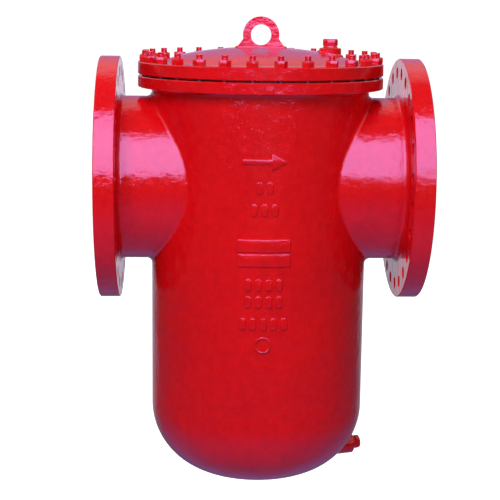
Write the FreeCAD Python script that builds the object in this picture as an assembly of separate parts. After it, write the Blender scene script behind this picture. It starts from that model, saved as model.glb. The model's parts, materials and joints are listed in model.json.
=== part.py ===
"""Flanged tee-pattern basket strainer, NPS 18, pressure class 300, as an assembly of its real pieces.

Millimetres. The origin is the centre of the inlet flange's raised face. +X runs along the pipe, from inlet to
outlet, +Z is up along the axis of the bowl, the basket and the bolted cover, and +Y is away from the front.
Every piece is drawn about the bowl's axis at x = 0, and save() moves it to its place in the frame.
"""

import FreeCAD, Part
import math
import os

from FreeCAD import Rotation, Vector

X, Y, Z = Vector(1, 0, 0), Vector(0, 1, 0), Vector(0, 0, 1)
CENTRE = Vector(0, 0, 0)
OVERCUT = 5.0  # how far a cutting tool runs past the face that it opens

# ---- Pipe flanges: NPS 18, class 300, raised face ----
pipe_bore_d = 438.0
nozzle_wall = 21.0
pipe_flange_d = 711.2
pipe_flange_t = 60.3
raised_face_d = 533.4
raised_face_h = 2.0
pipe_bolt_circle = 628.6
pipe_bolt_count = 24
pipe_bolt_hole_d = 35.0
flange_edge_chamfer = 2.5
hub_fillet = 15.0

# ---- Bowl ----
bowl_d = 640.0
bowl_wall = 22.0
bowl_straight_bottom = -690.0
head_crown_radius = 800.0
head_knuckle_radius = 205.0
nozzle_fillet = 16.0
neck_fillet = 12.0
room_for_pipe_bolts = 50.7  # from the cover flange's rim to the back of a pipe flange
casting_split_gap = 5.0  # from the cover flange's rim to the plane where a pipe end's stretch starts
tee_below_nozzle = 50.0

# ---- Bolted joint between bowl and cover, from the bowl's bore outwards ----
joint_above_nozzle = 64.0
body_flange_t = 32.5
cover_flange_t = 35.5
gasket_t = 3.0
gasket_face_h = 1.0
gasket_bore_clearance = 1.0
gasket_inner_ring_w = 5.0
gasket_winding_w = 16.0
gasket_outer_ring_w = 7.0
gasket_face_margin = 1.0
stud_hole_margin = 1.0
stud_edge_distance = 20.5

# ---- Cover bolting: 3/4 inch studs with heavy hexagon nuts ----
stud_count = 28
stud_d = 19.0
stud_hole_clearance = 1.0
tap_floor = 6.5
stud_show = 13.0
nut_flats_over_stud = 3.2  # heavy nuts measure one and a half diameters and this much more across their flats
nut_chamfer = 2.2
nut_turn_step = 37
thread_clearance = 0.3
seat_clearance = 0.1

# ---- Cover dome ----
dome_rise = 44.0
dome_foot_inset = 34.0
dome_shoulder_inset = 71.0
dome_shoulder_drop = 20.5
dome_wall = 20.0
dome_foot_fillet = 5.0

# ---- Lifting lug ----
lug_hole_d = 60.0
lug_eye_wall = 23.0
lug_hole_web = 4.5
lug_foot_w = 138.0
lug_t = 25.0

# ---- Vent and drain: welded threaded bosses with hexagon plugs ----
plug_shank_d = 33.0
plug_shank_l = 22.0
plug_collar = 2.5
plug_head_h = 24.0
plug_head_chamfer = 2.5
plug_seal_margin = 3.0
plug_seal_t = 2.0
plug_clearance = 0.4
boss_wall = 16.0
boss_chamfer = 2.5
vent_inset = 82.0
vent_boss_above_flange = 43.0
drain_angle = 18.0
drain_above_bottom = 42.0
drain_boss_stands = 5.0

# ---- Slanted seat cast across the bowl ----
seat_beyond_bore = 26.6
seat_web_t = 18.0
seat_pad_h = 3.0
seat_pad_inset = 30.0

# ---- Basket ----
flow_gap = 78.0  # round the basket, between its plate and the bowl
basket_plate_t = 4.0
basket_floor_above_head = 30.0
basket_bottom_t = 5.0
basket_clearance = 1.0
rim_inset = 6.0
rim_t = 12.0
mesh_t = 1.2
floor_cloth_clearance = 0.5
window_w = 58.0
window_h = 84.0
window_bridge = 28.0
window_row_bridge = 20.0
window_margin = 26.0
floor_hole_d = 58.0
floor_hole_pitch = 80.0
floor_hole_margin = 10.0
hoop_w = 16.0
hoop_t = 5.0

# ---- Bail handle ----
bail_rod_d = 14.0
bail_leg = 70.0
bail_rise = 155.0
bail_shoulder_radius = 90.0
bail_bend = 16.0
bail_sag = 1.0
bail_side_gap = 10.0
bail_lug_t = 8.0
bail_lug_radius = 15.0
bail_lug_inset = 22.0
bail_pivot_above_rim = 20.0
bail_hole_clearance = 0.5
bail_washer_d = 26.0
bail_washer_t = 4.0
bail_end_gap = 1.0

# ---- Hold-down posts under the cover ----
post_d = 16.0
post_inset = 12.0
post_angle = 15.0
post_gap = 1.0

# ---- Worked out: radii, from the bowl's wall outwards ----
hex_corner = 1 / math.cos(math.radians(30))
bowl_r = bowl_d / 2
bore_r = pipe_bore_d / 2
nozzle_r = bore_r + nozzle_wall
cavity_r = bowl_r - bowl_wall
inner_ring_r = cavity_r + gasket_bore_clearance
winding_r = inner_ring_r + gasket_inner_ring_w
outer_ring_r = winding_r + gasket_winding_w
gasket_r = outer_ring_r + gasket_outer_ring_w
gasket_face_r = gasket_r + gasket_face_margin
stud_hole_r = stud_d / 2 + stud_hole_clearance
stud_circle_r = gasket_face_r + stud_hole_margin + stud_hole_r
cover_flange_r = stud_circle_r + stud_edge_distance
nut_flats = 1.5 * stud_d + nut_flats_over_stud
nut_h = stud_d - stud_hole_clearance / 2
dome_foot_r = bowl_r - dome_foot_inset
dome_shoulder_r = dome_foot_r - dome_shoulder_inset
vent_x = dome_foot_r - vent_inset
boss_r = plug_shank_d / 2 + boss_wall
boss_hole_r = plug_shank_d / 2 + plug_clearance
plug_flats = plug_shank_d + 2 * plug_collar
plug_seal_r = plug_flats / 2 + plug_seal_margin
drain_boss_reach = bowl_r + drain_boss_stands

# ---- Worked out: lengths along the pipe ----
flange_back_x = cover_flange_r + room_for_pipe_bolts
half_length = flange_back_x + pipe_flange_t
flange_face_x = half_length - raised_face_h
vessel_x = half_length

# ---- Worked out: heights ----
joint_z = nozzle_r + joint_above_nozzle
body_face_z = joint_z - gasket_t / 2
body_flange_top = body_face_z - gasket_face_h
body_flange_bottom = body_flange_top - body_flange_t
cover_face_z = joint_z + gasket_t / 2
cover_flange_bottom = cover_face_z + gasket_face_h
cover_top = cover_flange_bottom + cover_flange_t
dome_top = cover_top + dome_rise
lug_head_radius = lug_hole_d / 2 + lug_eye_wall
lug_hole_above_dome = lug_hole_d / 2 + lug_hole_web
head_depth = head_crown_radius - math.sqrt(
    (head_crown_radius - head_knuckle_radius) ** 2 - (bowl_r - head_knuckle_radius) ** 2
)
drain_z = bowl_straight_bottom - head_depth + drain_above_bottom
pipe_end_x = cover_flange_r + casting_split_gap
tee_bottom = -nozzle_r - tee_below_nozzle

# ---- Worked out: seat and basket ----
slope = (bore_r + seat_beyond_bore) / cavity_r
slant = math.atan(slope)
seat_web_drop = seat_web_t / math.cos(slant)
seat_top = seat_pad_h / math.cos(slant)
rim_top = seat_top + rim_t / math.cos(slant)
seat_pad_r = cavity_r - seat_pad_inset
rim_r = seat_pad_r - rim_inset
basket_r = cavity_r - flow_gap
basket_inner_r = basket_r - basket_plate_t
rim_bore_r = basket_inner_r - mesh_t
seat_opening_r = basket_r + hoop_t + basket_clearance
basket_bottom_z = bowl_straight_bottom + basket_floor_above_head
basket_floor_top = basket_bottom_z + basket_bottom_t
window_pitch = window_h + window_row_bridge
window_columns = int(2 * math.pi * basket_r // (window_w + window_bridge))
pivot_z = rim_top + bail_pivot_above_rim
bail_lean = 90 - math.degrees(slant) + bail_sag
bail_lug_y = rim_r - bail_lug_inset
bail_half_width = bail_lug_y - bail_lug_t / 2 - bail_side_gap
post_r = rim_r - post_inset


# ---- Small builders ----
def cylinder(radius, bottom, top):
    """A round bar about the bowl's axis."""
    return Part.makeCylinder(radius, top - bottom, Vector(0, 0, bottom), Z)


def tube(outer, inner, bottom, top):
    """A ring or pipe about the bowl's axis."""
    return cylinder(outer, bottom, top).cut(cylinder(inner, bottom - OVERCUT, top + OVERCUT))


def revolved(wire_edges):
    """The solid that a closed half profile in the XZ plane sweeps about Z."""
    face = Part.Face(Part.Wire(Part.__sortEdges__(wire_edges)))
    return face.revolve(CENTRE, Z, 360)


def line(a, b):
    return Part.makeLine(a, b)


def arc(a, middle, b):
    return Part.Arc(a, middle, b).toShape()


def at(radius, height):
    """A point of a half profile."""
    return Vector(radius, 0, height)


def polygon_prism(points, direction):
    """A prism on a closed outline of straight edges."""
    return Part.Face(Part.makePolygon(points + [points[0]])).extrude(direction)


def hexagon_prism(flats, bottom, top, turn=0.0):
    """A hexagonal bar about Z, turned by some degrees."""
    corner = Vector(flats / 2 * hex_corner, 0, bottom)
    points = [Rotation(Z, turn + 60 * k).multVec(corner) for k in range(6)]
    return polygon_prism(points, Z * (top - bottom))


def hexagon_head(flats, bottom, top, drop, turn=0.0):
    """A hexagonal bar whose top corners are turned off at 30 degrees by a cone."""
    low_r = flats / 2 * hex_corner + drop
    high_r = flats / 2
    cone_h = (low_r - high_r) * math.tan(math.radians(30))
    outline = [at(0, top), at(high_r, top), at(low_r, top - cone_h), at(low_r, bottom), at(0, bottom)]
    cap = Part.Face(Part.makePolygon(outline + [outline[0]])).revolve(CENTRE, Z, 360)
    return hexagon_prism(flats, bottom, top, turn).common(cap)


def around(radius, count, offset_steps=0.5):
    """Places on a circle, with the pattern straddling the X axis."""
    for k in range(count):
        angle = 2 * math.pi * (k + offset_steps) / count
        yield k, radius * math.cos(angle), radius * math.sin(angle)


def edges_where(shape, test):
    """The edges whose sampled points all pass a test."""
    found = []
    for edge in shape.Edges:
        first, last = edge.ParameterRange
        points = [edge.valueAt(first + (last - first) * k / 6) for k in range(7)]
        if all(test(p) for p in points):
            found.append(edge)
    return found


def near(value, target, tolerance=0.05):
    return abs(value - target) < tolerance


def circle_edges(shape, radius, level):
    """A shape's edges on one circle about the bowl's axis."""
    return edges_where(shape, lambda p: near(math.hypot(p.x, p.y), radius) and near(p.z, level))


def slanted_ring(outer, inner, low, high):
    """A ring between two planes that slope up towards the outlet, at two heights on the bowl's axis."""
    reach = outer + OVERCUT
    section = [
        Vector(-reach, -reach, low - reach * slope),
        Vector(reach, -reach, low + reach * slope),
        Vector(reach, -reach, high + reach * slope),
        Vector(-reach, -reach, high - reach * slope),
    ]
    slab = polygon_prism(section, Vector(0, 2 * reach, 0))
    return slab.common(tube(outer, inner, low - 2 * reach, high + 2 * reach))


def below_slant(height):
    """A large block under the plane that slopes up towards the outlet."""
    reach = bowl_d
    section = [
        Vector(-reach, -reach, height - reach * slope),
        Vector(reach, -reach, height + reach * slope),
        Vector(reach, -reach, -2 * reach),
        Vector(-reach, -reach, -2 * reach),
    ]
    return polygon_prism(section, Vector(0, 2 * reach, 0))


# ---- The casting ----
def head_profile(radius, crown, knuckle, top):
    """Half profile of a dished head that closes a cylinder of this radius, filled up to a level."""
    bottom_of_straight = bowl_straight_bottom
    drop = crown - math.sqrt((crown - knuckle) ** 2 - (radius - knuckle) ** 2)
    crown_centre = bottom_of_straight - drop + crown
    turn = math.asin((radius - knuckle) / (crown - knuckle))
    meet = at(crown * math.sin(turn), crown_centre - crown * math.cos(turn))
    crown_middle = at(crown * math.sin(turn / 2), crown_centre - crown * math.cos(turn / 2))
    half = (math.pi / 2 + turn) / 2
    knuckle_middle = at(
        radius - knuckle + knuckle * math.sin(half), bottom_of_straight - knuckle * math.cos(half)
    )
    pole = at(0, bottom_of_straight - drop)
    corner = at(radius, bottom_of_straight)
    return [
        arc(pole, crown_middle, meet),
        arc(meet, knuckle_middle, corner),
        line(corner, at(radius, top)),
        line(at(radius, top), at(0, top)),
        line(at(0, top), pole),
    ]


def pipe_flange(side):
    """One integral pipe flange with its raised face and the nozzle behind it. side is -1 for the inlet."""
    along = X * side
    radius = pipe_flange_d / 2
    disc = Part.makeCylinder(radius, pipe_flange_t - raised_face_h, X * (side * flange_back_x), along)
    for level in (flange_back_x, flange_face_x):
        rim = edges_where(disc, lambda p: near(math.hypot(p.y, p.z), radius) and near(abs(p.x), level))
        disc = disc.makeChamfer(flange_edge_chamfer, rim)
    face = Part.makeCylinder(raised_face_d / 2, raised_face_h, X * (side * flange_face_x), along)
    nozzle = Part.makeCylinder(nozzle_r, flange_back_x, CENTRE, along)
    return disc.fuse([face, nozzle])


def pipe_bolt_holes(side):
    """The through holes of one pipe flange, straddling the centrelines."""
    holes = []
    for _, y, z in around(pipe_bolt_circle / 2, pipe_bolt_count):
        start = Vector(side * (flange_back_x - OVERCUT), y, z)
        holes.append(Part.makeCylinder(pipe_bolt_hole_d / 2, pipe_flange_t + 2 * OVERCUT, start, X * side))
    return holes


def casting_outside():
    """The casting's outer form: bowl, cover flange, nozzles and pipe flanges, with the blends between."""
    bowl_top = body_flange_bottom + OVERCUT
    bowl = revolved(head_profile(bowl_r, head_crown_radius, head_knuckle_radius, bowl_top))
    flange = cylinder(cover_flange_r, body_flange_bottom, body_flange_top)
    for level in (body_flange_bottom, body_flange_top):
        flange = flange.makeChamfer(flange_edge_chamfer, circle_edges(flange, cover_flange_r, level))
    outside = bowl.fuse([flange, pipe_flange(-1), pipe_flange(1)]).removeSplitter()

    def on_nozzle(p):
        return near(math.hypot(p.y, p.z), nozzle_r)

    to_bowl = edges_where(outside, lambda p: near(math.hypot(p.x, p.y), bowl_r) and on_nozzle(p))
    outside = outside.makeFillet(nozzle_fillet, to_bowl)
    to_flange = edges_where(outside, lambda p: near(abs(p.x), flange_back_x) and on_nozzle(p))
    outside = outside.makeFillet(hub_fillet, to_flange)
    outside = outside.makeFillet(neck_fillet, circle_edges(outside, bowl_r, body_flange_bottom))
    return outside.fuse(cylinder(gasket_face_r, body_flange_bottom, body_face_z))


def casting():
    """The hollow casting, with its bolt holes, tapped holes and drain hole."""
    inner_crown = head_crown_radius - bowl_wall
    inner_knuckle = head_knuckle_radius - bowl_wall
    cavity = head_profile(cavity_r, inner_crown, inner_knuckle, body_face_z + OVERCUT)
    bores = Part.makeCylinder(bore_r, 2 * (half_length + OVERCUT), X * (-half_length - OVERCUT), X)
    tap = cylinder(stud_d / 2 + seat_clearance, body_flange_bottom + tap_floor, body_flange_top + OVERCUT)
    tapped = [tap.translated(Vector(x, y, 0)) for _, x, y in around(stud_circle_r, stud_count)]
    drain_hole = drain_placed(Part.makeCylinder(boss_hole_r, drain_boss_reach, CENTRE, X))
    cuts = [revolved(cavity), bores, drain_hole] + tapped + pipe_bolt_holes(-1) + pipe_bolt_holes(1)
    return casting_outside().cut(cuts)


def casting_nodes():
    """The casting in simple stretches: pipe ends, cover flange, tee, and the dished bowl below it."""
    whole = casting()
    reach = 2 * half_length
    pipe_end = Part.makeBox(reach, 2 * reach, 2 * reach, Vector(pipe_end_x, -reach, -reach))
    pipe_ends = [pipe_end, pipe_end.mirror(CENTRE, X)]
    above_tee = cylinder(reach, body_flange_bottom, body_flange_bottom + reach)
    below_tee = cylinder(reach, tee_bottom - reach, tee_bottom)
    return {
        "inlet_nozzle": whole.common(pipe_ends[1]),
        "outlet_nozzle": whole.common(pipe_ends[0]),
        "body_flange": whole.common(above_tee).cut(pipe_ends),
        "bowl_tee": whole.cut([above_tee, below_tee] + pipe_ends),
        "bowl_bottom": whole.common(below_tee).cut(pipe_ends),
    }


def basket_seat():
    """Slanted plate welded across the bowl's bore, with a raised pad that the basket's rim stands on."""
    web = slanted_ring(cavity_r, seat_opening_r, -seat_web_drop, 0)
    pad = slanted_ring(seat_pad_r, seat_opening_r, -seat_web_drop / 2, seat_top)
    return web.fuse(pad).removeSplitter()


# ---- Cover ----
def dome_edges(foot_r, foot_z, top, inset):
    """The dome's curve, from its pole to its foot: a flat crown, and a tighter shoulder tangent to it."""
    shoulder_r = dome_shoulder_r - inset / 4
    shoulder_z = top - dome_shoulder_drop
    crown = (shoulder_r**2 + dome_shoulder_drop**2) / (2 * dome_shoulder_drop)
    turn = math.asin(shoulder_r / crown)
    crown_middle = at(crown * math.sin(turn / 2), top - crown * (1 - math.cos(turn / 2)))
    chord = at(foot_r, foot_z) - at(shoulder_r, shoulder_z)
    chord_turn = math.atan2(-chord.z, chord.x)
    shoulder = chord.Length / (2 * math.sin(chord_turn - turn))
    half_turn = (chord_turn - turn) / 2
    middle = at(
        shoulder_r + shoulder * (math.sin(turn + half_turn) - math.sin(turn)),
        shoulder_z - shoulder * (math.cos(turn) - math.cos(turn + half_turn)),
    )
    return [
        arc(at(0, top), crown_middle, at(shoulder_r, shoulder_z)),
        arc(at(shoulder_r, shoulder_z), middle, at(foot_r, foot_z)),
    ]


def cover():
    """Cover flange with its dished centre, gasket face and stud holes."""
    rim = cover_flange_r
    foot = dome_foot_r
    inner_foot = cavity_r - bowl_wall / 2
    corner = flange_edge_chamfer
    face_r = gasket_face_r
    outer = dome_edges(foot, cover_top, dome_top, 0)
    inner = dome_edges(inner_foot, cover_face_z, dome_top - dome_wall, bowl_wall)
    outline = [
        at(foot, cover_top),
        at(rim - corner, cover_top),
        at(rim, cover_top - corner),
        at(rim, cover_flange_bottom + corner),
        at(rim - corner, cover_flange_bottom),
        at(face_r, cover_flange_bottom),
        at(face_r, cover_face_z),
        at(inner_foot, cover_face_z),
    ]
    sides = [line(a, b) for a, b in zip(outline, outline[1:])]
    axis = line(at(0, dome_top), at(0, dome_top - dome_wall))
    plate = revolved(outer + inner + sides + [axis])
    plate = plate.makeFillet(dome_foot_fillet, circle_edges(plate, foot, cover_top))
    hole = cylinder(stud_hole_r, cover_flange_bottom - OVERCUT, cover_top + OVERCUT)
    holes = [hole.translated(Vector(x, y, 0)) for _, x, y in around(stud_circle_r, stud_count)]
    vent_hole = Part.makeCylinder(boss_hole_r, dome_rise + cover_flange_t, Vector(vent_x, 0, cover_face_z), Z)
    return plate.cut(holes + [vent_hole])


def under_dome():
    """Everything below the cover's outer surface, to seat what is welded on it."""
    foot = dome_foot_r
    outline = [at(foot, cover_top), at(foot, 0), at(0, 0), at(0, dome_top)]
    sides = [line(a, b) for a, b in zip(outline, outline[1:])]
    return revolved(dome_edges(foot, cover_top, dome_top, 0) + sides)


def lifting_lug():
    """Upright plate with a shackle hole, welded on the middle of the dome."""
    hole_z = dome_top + lug_hole_above_dome
    half_foot = lug_foot_w / 2
    root = dome_top - dome_wall
    lean = math.atan2(half_foot - lug_head_radius, lug_hole_above_dome)
    tangent = Vector(lug_head_radius * math.cos(lean / 2), 0, hole_z - lug_head_radius * math.sin(lean / 2))
    left = Vector(-tangent.x, 0, tangent.z)
    foot = Vector(half_foot, 0, dome_top)
    wire = Part.Wire(
        [
            arc(tangent, Vector(0, 0, hole_z + lug_head_radius), left),
            line(left, Vector(-foot.x, 0, foot.z)),
            line(Vector(-foot.x, 0, foot.z), Vector(-foot.x, 0, root)),
            line(Vector(-foot.x, 0, root), Vector(foot.x, 0, root)),
            line(Vector(foot.x, 0, root), foot),
            line(foot, tangent),
        ]
    )
    plate = Part.Face(wire).extrude(Y * lug_t)
    plate.translate(Y * (-lug_t / 2))
    hole = Part.makeCylinder(lug_hole_d / 2, lug_t + 2 * OVERCUT, Vector(0, -lug_t / 2 - OVERCUT, hole_z), Y)
    return plate.cut([hole, under_dome()])


def hold_down_posts(plate):
    """Four posts welded under the cover; they keep the basket's slanted rim on its seat."""
    posts = []
    for side_x in (-1, 1):
        for side_y in (-1, 1):
            x = side_x * post_r * math.cos(math.radians(post_angle))
            y = side_y * post_r * math.sin(math.radians(post_angle))
            post = cylinder(post_d / 2, -half_length, cover_top).translated(Vector(x, y, 0))
            posts.append(post.cut([plate, below_slant(rim_top + post_gap)]))
    return posts


# ---- Bosses, plugs and their seals ----
def boss(root):
    """A threaded boss about Z with its open face at z = 0; it reaches down by root."""
    block = cylinder(boss_r, -root, 0)
    block = block.makeChamfer(boss_chamfer, circle_edges(block, boss_r, 0))
    return block.cut(cylinder(boss_hole_r, -root - OVERCUT, OVERCUT))


def plug():
    """Hexagon plug: its head stands on the seal, its shank reaches into the boss."""
    head = hexagon_head(plug_flats, plug_seal_t, plug_seal_t + plug_head_h, plug_head_chamfer)
    shank = cylinder(plug_shank_d / 2, -plug_shank_l, plug_seal_t)
    return head.fuse(shank)


def plug_seal():
    """Flat sealing ring between the boss and the plug's head."""
    return tube(plug_seal_r, boss_hole_r, 0, plug_seal_t)


def vent_placed(shape):
    return shape.translated(Vector(vent_x, 0, cover_top + vent_boss_above_flange))


def drain_placed(shape):
    """Lays a piece drawn about X from the bowl's axis out along the drain."""
    return shape.rotated(CENTRE, Z, drain_angle).translated(Vector(0, 0, drain_z))


def on_drain(shape):
    """Turns a piece drawn about Z, open face at z = 0, onto the drain."""
    lying = shape.rotated(CENTRE, Y, 90).translated(X * drain_boss_reach)
    return drain_placed(lying)


def vent_boss():
    return vent_placed(boss(vent_boss_above_flange + dome_wall)).cut(under_dome())


def drain_boss():
    bowl = revolved(head_profile(bowl_r, head_crown_radius, head_knuckle_radius, 0))
    return on_drain(boss(drain_boss_reach)).cut(bowl)


# ---- Cover bolting and gasket ----
def cover_studs():
    """Studs screwed into the body flange."""
    top = cover_top + nut_h + stud_show
    bottom = body_flange_bottom + tap_floor + seat_clearance
    stud = cylinder(stud_d / 2, bottom, top)
    return [stud.translated(Vector(x, y, 0)) for _, x, y in around(stud_circle_r, stud_count)]


def cover_nuts():
    """Heavy hexagon nuts, each left at its own angle as tightening leaves them."""
    top = cover_top + nut_h
    bore = cylinder(stud_d / 2 + thread_clearance, cover_top - OVERCUT, top + OVERCUT)
    nuts = []
    for k, x, y in around(stud_circle_r, stud_count):
        nut = hexagon_head(nut_flats, cover_top, top, nut_chamfer, k * nut_turn_step % 60)
        nuts.append(nut.cut(bore).translated(Vector(x, y, 0)))
    return nuts


def gasket_ring(outer, inner):
    return tube(outer, inner, body_face_z, cover_face_z)


# ---- Basket ----
def basket_tube(outer, inner):
    """A pipe from the basket's floor up to the underside of its slanted rim."""
    return tube(outer, inner, basket_floor_top, 2 * basket_r).common(below_slant(seat_top))


def column_degrees(k):
    """Where one column of windows stands, from the outlet's side round."""
    return 360.0 * (k + 0.5) / window_columns


def mesh_panels():
    """Wire cloth in strips, one behind each column of windows, edge to edge."""
    cloth = basket_tube(basket_inner_r, rim_bore_r)
    reach = 2 * basket_r
    half_w = reach * math.tan(math.pi / window_columns)
    foot = Z * (basket_bottom_z - OVERCUT)
    corners = [foot, foot + Vector(reach, -half_w, 0), foot + Vector(reach, half_w, 0)]
    wedge = polygon_prism(corners, Z * (2 * reach - basket_bottom_z))
    panels = []
    for k in range(window_columns):
        panels.append(cloth.common(wedge.rotated(CENTRE, Z, column_degrees(k))))
    return panels


def window_rows(angle):
    """How many windows fit under the slanted rim at one side of the basket."""
    room = seat_top + slope * basket_r * math.cos(angle) - window_margin - basket_floor_top
    half_width_drop = slope * window_w / 2 * abs(math.sin(angle))
    return int((room - half_width_drop - window_margin) // window_pitch)


def basket_shell():
    """Rolled support plate, with rows of windows that leave room for the slanted rim."""
    shell = basket_tube(basket_r, basket_inner_r)
    cutters = []
    for k in range(window_columns):
        degrees = column_degrees(k)
        for row in range(window_rows(math.radians(degrees))):
            low = basket_floor_top + window_margin + row * window_pitch
            block = Part.makeBox(2 * basket_r, window_w, window_h, Vector(0, -window_w / 2, low))
            cutters.append(block.rotated(CENTRE, Z, degrees))
    return shell.cut(cutters)


def basket_hoops():
    """Bands welded round the support plate, between rows of windows."""
    hoops = []
    for level in range(1, window_rows(math.pi), 2):
        middle = basket_floor_top + window_margin + level * window_pitch - window_row_bridge / 2
        hoops.append(tube(basket_r + hoop_t, basket_r, middle - hoop_w / 2, middle + hoop_w / 2))
    return hoops


def basket_floor():
    """Round floor plate with rings of drain holes."""
    plate = cylinder(basket_r, basket_bottom_z, basket_floor_top)
    hole = cylinder(floor_hole_d / 2, basket_bottom_z - OVERCUT, basket_floor_top + OVERCUT)
    rings = int((rim_bore_r - floor_hole_margin - floor_hole_d / 2) // floor_hole_pitch)
    holes = [hole]
    for ring in range(1, rings + 1):
        places = around(ring * floor_hole_pitch, 6 * ring, 0)
        holes += [hole.translated(Vector(x, y, 0)) for _, x, y in places]
    return plate.cut(holes)


def floor_mesh():
    """Wire cloth lying on the floor plate."""
    return cylinder(rim_bore_r - floor_cloth_clearance, basket_floor_top, basket_floor_top + mesh_t)


def bail_lugs():
    """Two ears that stand on the slanted rim and carry the bail."""
    ears = []
    radius = bail_lug_radius
    hole_r = bail_rod_d / 2 + bail_hole_clearance
    for side in (-1, 1):
        start = side * bail_lug_y - bail_lug_t / 2
        head = Part.makeCylinder(radius, bail_lug_t, Vector(0, start, pivot_z), Y)
        foot = Part.makeBox(2 * radius, bail_lug_t, 2 * pivot_z, Vector(-radius, start, -pivot_z))
        hole_start = Vector(0, start - OVERCUT, pivot_z)
        hole = Part.makeCylinder(hole_r, bail_lug_t + 2 * OVERCUT, hole_start, Y)
        ears.append(head.fuse(foot).removeSplitter().cut([hole, below_slant(rim_top)]))
    return ears


def bail_spine():
    """The bar's centre line in the YZ plane: turned-out ends, legs, round shoulders and a flatter crown."""
    end_y = bail_lug_y + bail_lug_t / 2 + bail_end_gap + bail_washer_t
    half_span = bail_half_width - bail_rod_d / 2
    rise = bail_rise
    shoulder = bail_shoulder_radius
    crown = (half_span**2 + rise**2 - 2 * half_span * shoulder) / (2 * (rise - shoulder))
    turn = math.atan2(half_span - shoulder, crown - rise)
    crown_z = bail_leg + rise - crown
    half = (math.pi / 2 - turn) / 2
    bend_offset = bail_bend * (1 - math.cos(math.pi / 4))
    edges = []
    for side in (-1, 1):

        def point(y, z):
            return Vector(0, side * y, z)

        bend_low = point(half_span + bail_bend, 0)
        bend_middle = point(half_span + bend_offset, bend_offset)
        bend_high = point(half_span, bail_bend)
        leg_top = point(half_span, bail_leg)
        shoulder_y = half_span - shoulder * (1 - math.cos(half))
        shoulder_middle = point(shoulder_y, bail_leg + shoulder * math.sin(half))
        shoulder_end = point(crown * math.sin(turn), crown_z + crown * math.cos(turn))
        edges.append(line(point(end_y, 0), bend_low))
        edges.append(arc(bend_low, bend_middle, bend_high))
        edges.append(line(bend_high, leg_top))
        edges.append(arc(leg_top, shoulder_middle, shoulder_end))
    left = Vector(0, -shoulder_end.y, shoulder_end.z)
    edges.append(arc(left, Vector(0, 0, crown_z + crown), shoulder_end))
    return Part.Wire(Part.__sortEdges__(edges))


def bail():
    """Round bar bent to an arch and laid back above the rim's high side, its ends out through the ears."""
    spine = bail_spine()
    start = spine.OrderedVertexes[0].Point
    section = Part.Wire(Part.makeCircle(bail_rod_d / 2, start, Y))
    rod = spine.makePipeShell([section], True, True)
    return bail_placed(rod)


def bail_washers():
    """Washers welded on the bar's ends, outside the ears."""
    rings = []
    for side in (-1, 1):
        start = Y * (side * (bail_lug_y + bail_lug_t / 2 + bail_end_gap))
        ring = Part.makeCylinder(bail_washer_d / 2, bail_washer_t, start, Y * side)
        bar = Part.makeCylinder(bail_rod_d / 2, bail_washer_t, start, Y * side)
        rings.append(bail_placed(ring.cut(bar)))
    return rings


def bail_placed(shape):
    return shape.rotated(CENTRE, Y, bail_lean).translated(Vector(0, 0, pivot_z))


# ---- Writing the pieces ----
def save(name, shape):
    """Moves a piece from the bowl's axis to its place in the frame and writes it."""
    solid = Part.makeCompound(shape) if isinstance(shape, list) else shape
    solid.translated(X * vessel_x).exportStep(os.path.join("parts", name + ".step"))
    volume = solid.Volume / 1000
    print(f"{name:20s} solids {len(solid.Solids):3d}  valid {solid.isValid()}  volume {volume:.1f} cm3")


def main():
    os.makedirs("parts", exist_ok=True)
    plate = cover()
    pieces = {
        **casting_nodes(),
        "basket_seat": basket_seat(),
        "cover": plate,
        "lifting_lug": lifting_lug(),
        "hold_down_posts": hold_down_posts(plate),
        "vent_boss": vent_boss(),
        "drain_boss": drain_boss(),
        "vent_plug": vent_placed(plug()),
        "vent_seal": vent_placed(plug_seal()),
        "drain_plug": on_drain(plug()),
        "drain_seal": on_drain(plug_seal()),
        "cover_studs": cover_studs(),
        "cover_nuts": cover_nuts(),
        "gasket_inner_ring": gasket_ring(winding_r, inner_ring_r),
        "gasket_winding": gasket_ring(outer_ring_r, winding_r),
        "gasket_outer_ring": gasket_ring(gasket_r, outer_ring_r),
        "basket_rim": slanted_ring(rim_r, rim_bore_r, seat_top, rim_top),
        "basket_shell": basket_shell(),
        "basket_mesh": mesh_panels(),
        "basket_hoops": basket_hoops(),
        "basket_floor": basket_floor(),
        "floor_mesh": floor_mesh(),
        "bail_lugs": bail_lugs(),
        "bail_handle": bail(),
        "bail_washers": bail_washers(),
    }
    for name, shape in pieces.items():
        save(name, shape)


main()
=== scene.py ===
"""Finishes and fine detail for a flanged basket strainer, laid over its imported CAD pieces.

Metres. X runs along the pipe from inlet to outlet, Y points away from the front and Z is up the bowl's axis.
The operators run in the order of STEPS: they paint the CAD pieces, replace those that need a finer mesh, add
the cast marks and the weld beads, and set the studio.
"""

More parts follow.
